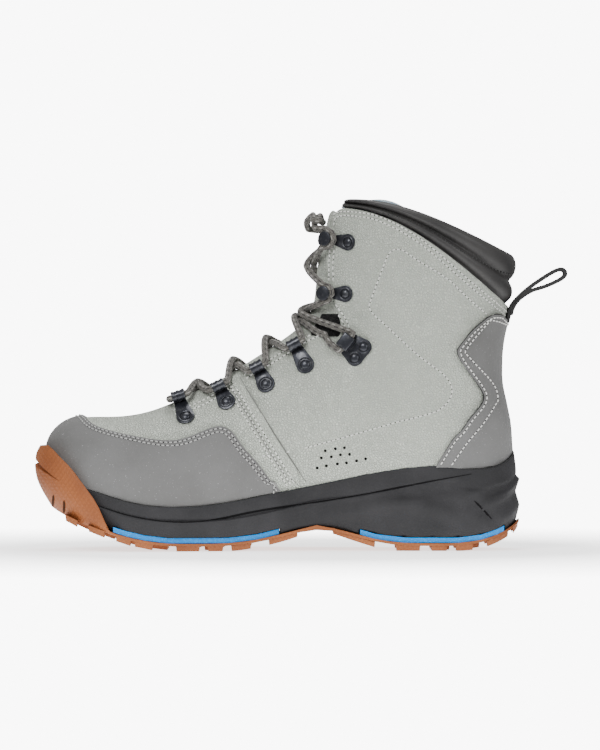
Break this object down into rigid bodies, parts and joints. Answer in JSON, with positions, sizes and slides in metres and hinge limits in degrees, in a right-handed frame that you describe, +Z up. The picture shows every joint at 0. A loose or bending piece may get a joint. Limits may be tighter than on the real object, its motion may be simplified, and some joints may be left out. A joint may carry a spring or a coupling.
{
  "type": "wading boot",
  "caption": "Ankle-high lace-up wading boot with a pale leather upper, grey toe cap and heel counter, padded collar, heel pull loop and a lugged gum rubber sole.",
  "frame": {"origin": "on the tread of the middle heel lug, where the boot stands", "axes": "+Z up, +X from toe to heel, +Y towards the wearer's outer side"},
  "size_m": [0.3509, 0.1152, 0.2303],
  "materials": {
    "gum_rubber": "matte with a fine cross-hatch",
    "charcoal_foam": "matte with a fine pebble grain",
    "blue_rubber": "matte, fine speckle",
    "insole_foam": "matte cloth",
    "pale_leather": "fine pebble grain, satin",
    "tongue_leather": "fine pebble grain, satin",
    "grey_nubuck": "matte nap",
    "black_padding": "smooth, satin",
    "black_webbing": "fine weave",
    "black_metal": "dark semi-gloss coat",
    "grey_cord": "round braid"
  },
  "bodies": {
    "root": {"outsole": "gum_rubber", "midsole": "charcoal_foam", "blue_plate_fore": "blue_rubber", "blue_plate_heel": "blue_rubber", "insole": "insole_foam", "upper": "pale_leather", "seam_strip_inner": "pale_leather", "seam_strip_outer": "pale_leather", "toe_cap": "grey_nubuck", "heel_counter": "grey_nubuck", "tongue": "tongue_leather", "collar": "black_padding", "pull_loop": "black_webbing", "lace_loop_inner_1": "black_metal", "lace_loop_outer_1": "black_metal", "lace_loop_inner_2": "black_metal", "lace_loop_outer_2": "black_metal", "lace_loop_inner_3": "black_metal", "lace_loop_outer_3": "black_metal", "lace_loop_inner_4": "black_metal", "lace_loop_outer_4": "black_metal", "locking_hook_inner": "black_metal", "locking_hook_outer": "black_metal", "speed_hook_inner_low": "black_metal", "speed_hook_outer_low": "black_metal", "speed_hook_inner_top": "black_metal", "speed_hook_outer_top": "black_metal", "lace_crossing_1": "grey_cord", "lace_crossing_2": "grey_cord", "lace_crossing_3": "grey_cord", "lace_crossing_4": "grey_cord", "lace_crossing_5": "grey_cord", "lace_crossing_6": "grey_cord", "lace_crossing_7": "grey_cord", "lace_crossing_8": "grey_cord"}
  },
  "joints": []
}
